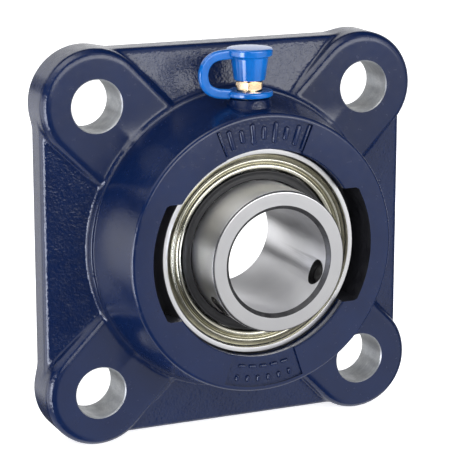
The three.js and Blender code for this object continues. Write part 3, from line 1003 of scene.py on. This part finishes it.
def finish_ends(ring):
    """Gives the bore and the flat ends their own grind, and leaves the corners unground."""
    first = len(ring.data.materials)
    for material in (SCALE, END_STEEL, BORE_STEEL):
        ring.data.materials.append(material)
    near_front, near_rear = -(INNER_FRONT - 1) * MM, -(INNER_REAR + 1) * MM
    for face in ring.data.polygons:
        x, y, z = face.center
        lean = abs(face.normal.y)
        if lean > 0.2 and not near_front <= y <= near_rear:
            face.material_index = first if lean < 0.97 else first + 1
        elif math.hypot(x, z) < (BORE_RADIUS + 0.1) * MM:
            face.material_index = first + 2


def ridge(outer, inner, foot, crest, steps=10):
    """A pressed ridge with steep flanks and a broad round top, from its outer foot inwards."""
    shares = [k / steps for k in range(steps + 1)]
    return [(outer + (inner - outer) * s, foot + (crest - foot) * math.sin(math.pi * s) ** 0.6)
            for s in shares]


def seal_shield(name, side):
    """Pressed shield: a recessed band, a ridge, a groove and a broad bright ridge."""
    face = RING_HALF_WIDTH - 0.5
    foot, sheet = face - 0.48, 0.42
    front = [(SHIELD_RADIUS, foot - 0.1), (SHIELD_RADIUS - 0.1, foot)]
    front += ridge(22.4, 21.5, foot, face)
    front += ridge(21.1, SHIELD_BORE + 0.05, foot, face)
    outline = [*front, (SHIELD_BORE, foot - 0.1), *((r, y - sheet) for r, y in front[::-1])]
    return revolve(name, [(r, side * y) for r, y in outline], ZINC, 288, centre=INSERT_CENTRE)


def seal_lip(name, side):
    """Rubber between the shield and the inner ring, dished, with a raised wiping edge."""
    face = RING_HALF_WIDTH - 0.7
    bore = INNER_RADIUS + 0.3
    outline = [
        (LIP_RADIUS, face - 0.75), (LIP_RADIUS, face - 0.15), (LIP_RADIUS - 0.12, face - 0.02),
        (LIP_RADIUS - 0.35, face), (LIP_RADIUS - 0.5, face - 0.12), (18.6, face - 0.3),
        (18.2, face - 0.34), (17.9, face - 0.25), (17.65, face - 0.08), (17.45, face - 0.04),
        (bore, face - 0.25), (bore, face - 0.5), (bore + 0.3, face - 0.85),
    ]
    return revolve(name, [(r, side * y) for r, y in outline], RUBBER, 192, centre=INSERT_CENTRE)


def seals():
    for end, side in (("front", -1), ("rear", 1)):
        shield = seal_shield(f"{end}_shield", side)
        place(shield, "insert", f"{end}_seal_shield", slot="zinc_steel")
        lip = seal_lip(f"{end}_lip", side)
        place(lip, "insert", f"{end}_seal_lip", slot="black_rubber")


def hexagon(flat_to_flat):
    corner = flat_to_flat / math.sqrt(3)
    return [(corner * math.cos(t), corner * math.sin(t)) for t in angles(6)]


def set_screw(number, direction):
    """Socket set screw with a cup point. Its grooves stand in for the thread."""
    node = f"set_screw_{number}"
    tip, length, pitch, groove = 13.2, 3.8, 0.75, 0.22
    outline = [(0, 0.45), (1.2, 0), (SCREW_RADIUS - 0.7, 0), (SCREW_RADIUS - groove, 0.55)]
    turns = int((length - 1.1) / pitch)
    for k in range(turns):
        start = 0.65 + k * pitch
        outline += [(SCREW_RADIUS, start + 0.3 * pitch), (SCREW_RADIUS, start + 0.45 * pitch),
                    (SCREW_RADIUS - groove, start + 0.75 * pitch)]
    outline += [(SCREW_RADIUS - 0.1, length - 0.35), (SCREW_RADIUS - 0.4, length), (0, length)]
    screw = revolve(f"grub_screw_{number}", outline, OXIDE_AND_HOLE_SHADE, 64)
    cut(screw, prism("socket", hexagon(3.0), length - 2.2, length + 1))
    aim(screw, direction, direction * tip * MM + SCREW_HEIGHT)
    weighted(screw)
    place(screw, node, node, slot="blackened_steel")


def sphere(name, node, material, body, slot):
    """A fine ball in place of a faceted one."""
    low_corner, high_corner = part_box(node)
    work = bmesh.new()
    bmesh.ops.create_icosphere(work, subdivisions=4, radius=(high_corner - low_corner).z / 2)
    bmesh.ops.translate(work, verts=work.verts, vec=(low_corner + high_corner) / 2)
    place(from_bmesh(name, work, material), body, node, slot=slot)


def balls():
    for number in BALL_NUMBERS:
        node = f"ball_{number}"
        sphere(f"bearing_ball_{number}", node, POLISHED, node, "ball_steel")


CAGE_SHEET = 0.8
CAGE_INNER = 17.8
CAGE_OUTER = 21.2
CAGE_CELL = 0.3


def cage_distance(side):
    """The distance to one half of the ribbon cage, flat between the balls and arched over them."""
    spots = [joint(f"ball_{n}_spin")["pos_m"] for n in BALL_NUMBERS]
    gap = 0.15

    def distance(x, d, z):
        height = side * (SEAT_CENTRE - d)
        pocket = 1e3
        for px, _, pz in spots:
            out_x, out_z = px / PITCH_RADIUS / MM, pz / PITCH_RADIUS / MM
            across = x * out_z - z * out_x
            ahead = x * out_x + z * out_z
            arch = np.hypot(across, height) - BALL_RADIUS - 0.3
            pocket = np.minimum(pocket, np.where(ahead > 0, arch, 1e3))
        outside = np.minimum(pocket - CAGE_SHEET, height - gap - CAGE_SHEET)
        sheet = rounded_overlap(outside, -pocket, 0.12)
        sheet = rounded_overlap(sheet, gap - height, 0.1)
        r = np.hypot(x, z)
        return rounded_overlap(sheet, np.maximum(r - CAGE_OUTER, CAGE_INNER - r), 0.12)

    return distance


def cage_half(name, node, side):
    low_corner, high_corner = low(node), high(node)
    start = (low_corner.x, -high_corner.y, low_corner.z)
    end = (high_corner.x, -low_corner.y, high_corner.z)
    obj = solid(name, cage_distance(side), start, end, CAGE_CELL, PRESSED)
    place(obj, "cage", node, slot="pressed_steel")


def rivet(number):
    """A rivet with two domed heads."""
    node = f"cage_rivet_{number}"
    low_end, high_end = low(node), high(node)
    centre = (low_end + high_end) / 2
    head = (high_end.x - low_end.x) / 2
    top = (high_end.y - low_end.y) / 2
    shank, under, rim = 0.6, top - 0.6, top - 0.45
    dome = [(head * math.cos(t), rim + (top - rim) * math.sin(t)) for t in angles(24)[:6]]
    upper = [(shank, under), (head, under), *dome, (0, top)]
    lower = [(r, -y) for r, y in upper[::-1]]
    obj = revolve(f"cage_pin_{number}", upper + lower, PRESSED, 32, centre=centre)
    place(obj, "cage", node, slot="pressed_steel")


def cage():
    cage_half("cage_ribbon_front", "cage_front_half", -1)
    cage_half("cage_ribbon_rear", "cage_rear_half", 1)
    for number in BALL_NUMBERS:
        rivet(number)


outer_ring()
inner_ring()
seals()
for screw in enumerate(screw_directions(), 1):
    set_screw(*screw)
balls()
cage()

# --- Grease nipple, check valve and cap, upright on the boss ---

HEX_LOW = RING_HIGH + 0.3
HEX_HIGH = HEX_LOW + 1.9


def grease_nipple():
    thread, neck, head, inlet, bore = 3.0, 2.6, 2.9, 0.75, 1.5
    seat = NIPPLE_TOP - 2.6
    outline = [(bore, NIPPLE_BOTTOM), (thread - 0.4, NIPPLE_BOTTOM)]
    turns, pitch = 7, 0.85
    for k in range(turns):
        start = NIPPLE_BOTTOM + 0.3 + k * pitch
        outline += [(thread, start + 0.25), (thread, start + 0.4), (thread - 0.3, start + 0.7)]
    outline += [(thread, RING_LOW - 0.6), (neck, RING_LOW - 0.6), (neck, HEX_HIGH + 0.35)]
    outline += [(neck + 0.12, HEX_HIGH + 0.6), (head, HEX_HIGH + 1.5), (head, HEX_HIGH + 2.1)]
    outline += rounded_outline([
        (head - 0.15, HEX_HIGH + 2.3), (1.75, NIPPLE_TOP, 0.4), (inlet, NIPPLE_TOP, 0.25),
        (inlet, seat + 0.7), (bore, seat),
    ])
    body = by_nipple("nipple_body", outline, BRASS, 96)
    nipple = outward(join([body, hexagon_collar()], "brass_nipple"))
    weighted(nipple)
    place(nipple, "housing", "grease_nipple", slot="nipple_brass")


def hexagon_collar():
    """The spanner flats, with their corners chamfered top and bottom."""
    corner, inner = 3.45, 2.4
    collar = by_nipple("collar", [
        (inner, HEX_LOW), (corner - 0.35, HEX_LOW), (corner + 0.05, HEX_LOW + 0.3),
        (corner + 0.05, HEX_HIGH - 0.3), (corner - 0.35, HEX_HIGH), (inner, HEX_HIGH),
    ], BRASS, 96)
    flats = prism("flats", hexagon(corner * math.sqrt(3)), HEX_LOW - 1, HEX_HIGH + 1, BRASS)
    aim(flats, Vector((0, 0, 1)), Vector(NIPPLE_CENTRE) * MM)
    combine(collar, flats, "INTERSECT")
    return collar


def check_spring():
    """The coil spring, with a fine round wire."""
    low_end, high_end = low("nipple_spring"), high("nipple_spring")
    wire, turns, steps = 0.16, 4, 240
    coil = (high_end.x - low_end.x) / 2 - wire
    climb = high_end.z - low_end.z - 2 * wire
    rings = []
    for k in range(steps + 1):
        angle = 2 * math.pi * turns * k / steps
        out = Vector((math.cos(angle), math.sin(angle), 0))
        middle = out * coil + Vector((0, -NIPPLE_DEPTH, low_end.z + wire + climb * k / steps))
        rings.append([middle + out * wire * math.cos(t) + Vector((0, 0, wire * math.sin(t)))
                      for t in angles(10)])
    spring = skin("valve_spring", rings, PRESSED)
    place(spring, "housing", "nipple_spring", slot="pressed_steel")
    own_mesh(spring)


def nipple_cap():
    """Blue cap: a crowned disc on a barrel that narrows downwards."""
    disc_low = CAP_HIGH - 2.0
    hollow, crown = 3.2, 0.3
    outline = rounded_outline([
        (hollow, CAP_LOW, 0.15), (3.75, CAP_LOW, 0.2), (4.5, disc_low - 0.3, 0.5),
        (CAP_RADIUS - 0.1, disc_low, 0.35), (CAP_RADIUS, CAP_HIGH - crown, 0.5),
        *[(r, CAP_HIGH - crown * (r / CAP_RADIUS) ** 2) for r in (4.2, 3.3, 2.2, 1.1, 0)],
        (0, disc_low - 0.2), (hollow, disc_low - 0.2),
    ])
    cap = by_nipple("blue_cap", outline, PLASTIC, 96)
    place(cap, "cap", "nipple_cap", slot="blue_plastic")


def cap_ring():
    bore = 2.9
    ring = by_nipple("blue_ring", rounded_outline([
        (bore, RING_LOW, 0.3), (RING_RADIUS, RING_LOW, 0.45),
        (RING_RADIUS, RING_HIGH, 0.5), (bore, RING_HIGH, 0.35),
    ], 6), PLASTIC, 96)
    place(ring, "cap_ring", "cap_ring", slot="blue_plastic")


def catmull(points, steps):
    """A smooth curve through the points."""
    padded = [points[0] * 2 - points[1], *points, points[-1] * 2 - points[-2]]
    curve = []
    for p0, p1, p2, p3 in zip(padded, padded[1:], padded[2:], padded[3:]):
        for k in range(steps):
            t = k / steps
            curve.append(0.5 * ((2 * p1) + (p2 - p0) * t + (2 * p0 - 5 * p1 + 4 * p2 - p3) * t * t
                                + (3 * p1 - p0 - 3 * p2 + p3) * t ** 3))
    curve.append(points[-1])
    return curve


def cap_strap():
    """The bow of the strap, from inside the cap's disc round to inside the ring."""
    upper = CAP_HIGH - 1.45
    lower = (RING_LOW + RING_HIGH) / 2
    middle = (upper + lower) / 2
    width, thick = 2.35, 1.5
    bow = STRAP_REACH - width / 2
    spots = [(-CAP_RADIUS + 1.1, upper), (-bow + 3.2, upper - 0.4), (-bow + 0.9, middle + 2.8),
             (-bow, middle), (-bow + 0.9, middle - 2.8), (-bow + 3.2, lower + 0.55),
             (-RING_RADIUS + 0.6, lower)]
    route = catmull([Vector((x, -NIPPLE_DEPTH, z)) for x, z in spots], 10)
    section = rounded_outline([(*c, 0.55) for c in rectangle(width / 2, thick / 2)], 5)
    rings = []
    for before, here, after in zip([route[0], *route], route, [*route[1:], route[-1]]):
        side = (after - before).cross(Vector((0, 1, 0))).normalized()
        rings.append([here + side * u + Vector((0, v, 0)) for u, v in section])
    strap = skin("blue_strap", rings, PLASTIC)
    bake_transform(strap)
    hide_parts("cap_strap")


grease_nipple()
sphere("valve_ball", "nipple_check_ball", POLISHED, "check_ball", "ball_steel")
check_spring()
cap_ring()
cap_strap()
nipple_cap()

# --- Camera, light and floor ---

CAMERA_AZIMUTH = math.radians(-24)
CAMERA_ELEVATION = math.radians(13.5)
CAMERA_DISTANCE = 0.5
CAMERA_LENS = 161
CAMERA_RIGHT = 0.0021
CAMERA_UP = 0.0009
LAMP_TARGET = Vector((0, -0.015, 0))
COOL = (0.9, 0.95, 1.1)


def camera():
    data = bpy.data.cameras.new("camera")
    data.lens = CAMERA_LENS
    data.sensor_width = 36
    data.clip_start = 0.01
    turn = Euler((math.pi / 2 - CAMERA_ELEVATION, 0, CAMERA_AZIMUTH)).to_matrix().to_4x4()
    obj = new_object("camera", data)
    obj.matrix_world = turn @ Matrix.Translation((CAMERA_RIGHT, CAMERA_UP, CAMERA_DISTANCE))
    bpy.context.scene.camera = obj


def softbox(name, location, size, radiance, tint=(1, 1, 1)):
    """A rectangular lamp, aimed at the part, of an even brightness."""
    data = bpy.data.lights.new(name, "AREA")
    data.shape = "RECTANGLE"
    data.size, data.size_y = size
    data.color = tint
    data.energy = radiance * math.pi * size[0] * size[1]
    obj = new_object(name, data)
    obj.location = location
    obj.rotation_euler = (LAMP_TARGET - Vector(location)).to_track_quat("-Z", "Y").to_euler()


def studio_world():
    """A white tent, open and dark towards the camera, with white paper in front on the right."""
    world = bpy.data.worlds.new("studio")
    world.use_nodes = True
    tent = Nodes(world.node_tree)
    background = tent.tree.nodes["Background"]
    tent.feed(background.inputs["Color"], (1, 1, 1))
    x, y, z = tent.axes(tent.node("ShaderNodeTexCoord").outputs["Generated"])
    behind = tent.times(tent.step(y, 0.3, 0.65), tent.slab(z, -0.25, 0.42, 0.2))
    below = tent.times(tent.step(y, -0.4, -0.1), tent.step(z, -0.5, -0.75))
    above = tent.times(tent.step(z, 0.3, 0.5), tent.slab(y, -0.5, 0.35, 0.2))
    above = tent.times(above, tent.step(x, 0.5, -0.4))
    left = tent.times(tent.step(x, -0.7, -0.85), tent.slab(z, -0.45, 0.05))
    paper = tent.times(tent.step(y, -0.2, -0.5), tent.step(x, 0.05, 0.33))
    bright = 0.04
    for lobe, level in ((behind, 1.15), (below, 1.0), (above, 1.15), (left, 2.8), (paper, 0.85)):
        bright = tent.math("MAXIMUM", tent.times(lobe, level), bright)
    slant = tent.math("ADD", z, tent.times(x, 0.42))
    gap = tent.times(tent.slab(slant, -0.11, 0.05, 0.05), tent.step(x, -0.2, -0.36))
    bright = tent.times(bright, tent.math("SUBTRACT", 1.0, gap))
    seen = tent.node("ShaderNodeLightPath").outputs["Is Camera Ray"]
    tent.feed(background.inputs["Strength"], tent.math("MAXIMUM", bright, seen))
    bpy.context.scene.world = world


def floor():
    half_size = 3.0
    corners = [(x, y, CAD_BOX[0][2]) for x, y in rectangle(half_size, half_size)]
    obj = make_object("floor", corners, [range(4)], pale_floor())
    obj.visible_glossy = False


camera()
softbox("key", (0.16, -0.72, 0.2), (0.85, 0.34), 4.2)
softbox("left_panel", (-0.66, -0.37, -0.18), (0.28, 0.5), 10.0, COOL)
softbox("top", (-0.3, -0.1, 0.64), (0.5, 0.4), 2.5)
studio_world()
floor()
bpy.context.scene.view_settings.view_transform = "Standard"
